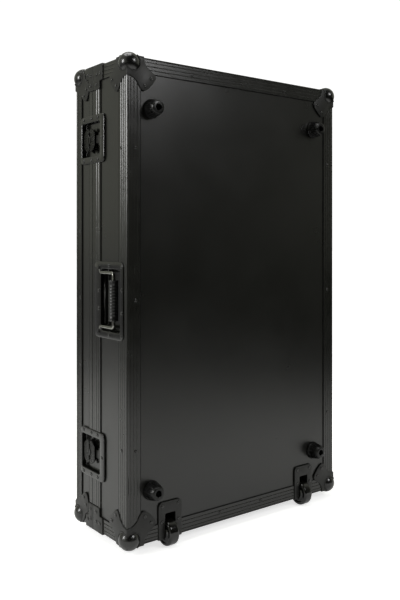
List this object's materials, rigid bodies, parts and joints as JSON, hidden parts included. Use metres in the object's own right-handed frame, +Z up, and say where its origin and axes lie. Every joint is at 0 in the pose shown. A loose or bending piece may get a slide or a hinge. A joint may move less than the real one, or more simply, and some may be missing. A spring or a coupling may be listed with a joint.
{
  "type": "dj coffin case",
  "caption": "Hard road case with a lift-off lid, ribbed edges, ball corners, recessed latches and handles, rubber feet and corner wheels.",
  "frame": {"origin": "centre of the case on the floor, with the case upright on the wheels at its short end", "axes": "+Z up along the long side, +Y from the underside with the feet to the lid, +X from the front with the latches to the rear"},
  "size_m": [0.588, 0.2386, 0.967],
  "materials": {
    "black_laminate": "black textured laminate on plywood",
    "black_aluminium": "black anodised, ribbed",
    "black_steel": "satin black coating on pressed steel",
    "bright_steel": "plated steel",
    "black_rubber": "matte black rubber",
    "dark_foam": "dense dark foam"
  },
  "bodies": {
    "base": {"base_underside_panel": "black_laminate", "base_front_panel": "black_laminate", "base_rear_panel": "black_laminate", "base_top_panel": "black_laminate", "base_wheel_end_panel": "black_laminate", "base_edge_front": "black_aluminium", "base_edge_rear": "black_aluminium", "base_edge_top": "black_aluminium", "base_edge_near_wheel": "black_aluminium", "base_edge_between_wheels": "black_aluminium", "base_edge_far_wheel": "black_aluminium", "base_rim_frame": "black_aluminium", "base_ball_corner_front_low": "black_steel", "base_ball_corner_rear_low": "black_steel", "base_ball_corner_front_high": "black_steel", "base_ball_corner_rear_high": "black_steel", "foot_near_low": "black_rubber", "foot_far_low": "black_rubber", "foot_near_high": "black_rubber", "foot_far_high": "black_rubber", "wheel_housing_near": "black_steel", "axle_near": "bright_steel", "wheel_housing_far": "black_steel", "axle_far": "bright_steel", "front_handle_dish": "black_steel", "tow_handle_dish": "black_steel", "catch_dish_front_low": "black_steel", "catch_dish_front_high": "black_steel", "catch_dish_rear_low": "black_steel", "catch_dish_rear_high": "black_steel", "base_foam": "dark_foam"},
    "lid": {"lid_panel": "black_laminate", "lid_front_panel": "black_laminate", "lid_rear_panel": "black_laminate", "lid_top_panel": "black_laminate", "lid_wheel_end_panel": "black_laminate", "lid_frame": "black_aluminium", "lid_ball_corner_front_low": "black_steel", "lid_ball_corner_rear_low": "black_steel", "lid_ball_corner_front_high": "black_steel", "lid_ball_corner_rear_high": "black_steel", "latch_dish_front_low": "black_steel", "latch_dish_front_high": "black_steel", "latch_dish_rear_low": "black_steel", "latch_dish_rear_high": "black_steel", "lid_foam": "dark_foam"},
    "wing_front_low": {"latch_wing_front_low": "black_steel"},
    "hook_front_low": {"latch_hook_front_low": "black_steel"},
    "wing_front_high": {"latch_wing_front_high": "black_steel"},
    "hook_front_high": {"latch_hook_front_high": "black_steel"},
    "wing_rear_low": {"latch_wing_rear_low": "black_steel"},
    "hook_rear_low": {"latch_hook_rear_low": "black_steel"},
    "wing_rear_high": {"latch_wing_rear_high": "black_steel"},
    "hook_rear_high": {"latch_hook_rear_high": "black_steel"},
    "front_handle": {"front_handle_bail": "bright_steel", "front_handle_grip": "black_rubber"},
    "tow_handle": {"tow_handle_bail": "bright_steel", "tow_handle_grip": "black_rubber"},
    "wheel_near": {"wheel_near": "black_rubber"},
    "wheel_far": {"wheel_far": "black_rubber"}
  },
  "joints": [
    {"name": "lid_lift", "type": "slide", "parent": "base", "child": "lid", "axis": [0, 1, 0], "range_m": [0, 0.3]},
    {"name": "wing_turn_front_low", "type": "hinge", "parent": "lid", "child": "wing_front_low", "pos_m": [-0.285, 0.055, 0.1695], "axis": [-1, 0, 0], "range_deg": [0, 180]},
    {"name": "hook_slide_front_low", "type": "slide", "parent": "lid", "child": "hook_front_low", "axis": [0, -1, 0], "range_m": [0, 0.008]},
    {"name": "wing_turn_front_high", "type": "hinge", "parent": "lid", "child": "wing_front_high", "pos_m": [-0.285, 0.055, 0.811], "axis": [-1, 0, 0], "range_deg": [0, 180]},
    {"name": "hook_slide_front_high", "type": "slide", "parent": "lid", "child": "hook_front_high", "axis": [0, -1, 0], "range_m": [0, 0.008]},
    {"name": "wing_turn_rear_low", "type": "hinge", "parent": "lid", "child": "wing_rear_low", "pos_m": [0.285, 0.055, 0.1695], "axis": [1, 0, 0], "range_deg": [0, 180]},
    {"name": "hook_slide_rear_low", "type": "slide", "parent": "lid", "child": "hook_rear_low", "axis": [0, -1, 0], "range_m": [0, 0.008]},
    {"name": "wing_turn_rear_high", "type": "hinge", "parent": "lid", "child": "wing_rear_high", "pos_m": [0.285, 0.055, 0.811], "axis": [1, 0, 0], "range_deg": [0, 180]},
    {"name": "hook_slide_rear_high", "type": "slide", "parent": "lid", "child": "hook_rear_high", "axis": [0, -1, 0], "range_m": [0, 0.008]},
    {"name": "front_handle_swing", "type": "hinge", "parent": "base", "child": "front_handle", "pos_m": [-0.284, 0.01005, 0.487], "axis": [0, 0, -1], "range_deg": [0, 95], "stiffness_Nm_per_rad": 0.15, "springref_deg": -28.65},
    {"name": "tow_handle_swing", "type": "hinge", "parent": "base", "child": "tow_handle", "pos_m": [0, 0.01005, 0.957], "axis": [-1, 0, 0], "range_deg": [0, 95], "stiffness_Nm_per_rad": 0.15, "springref_deg": -28.65},
    {"name": "wheel_near_roll", "type": "hinge", "parent": "base", "child": "wheel_near", "pos_m": [-0.1858, -0.087, 0.026], "axis": [1, 0, 0], "continuous": true},
    {"name": "wheel_far_roll", "type": "hinge", "parent": "base", "child": "wheel_far", "pos_m": [0.1858, -0.087, 0.026], "axis": [1, 0, 0], "continuous": true}
  ],
  "couplings": [
    {"joint": "wing_turn_front_low", "follows": "hook_slide_front_low", "rad_per_m": 392.7},
    {"joint": "wing_turn_front_high", "follows": "hook_slide_front_high", "rad_per_m": 392.7},
    {"joint": "wing_turn_rear_low", "follows": "hook_slide_rear_low", "rad_per_m": 392.7},
    {"joint": "wing_turn_rear_high", "follows": "hook_slide_rear_high", "rad_per_m": 392.7}
  ]
}
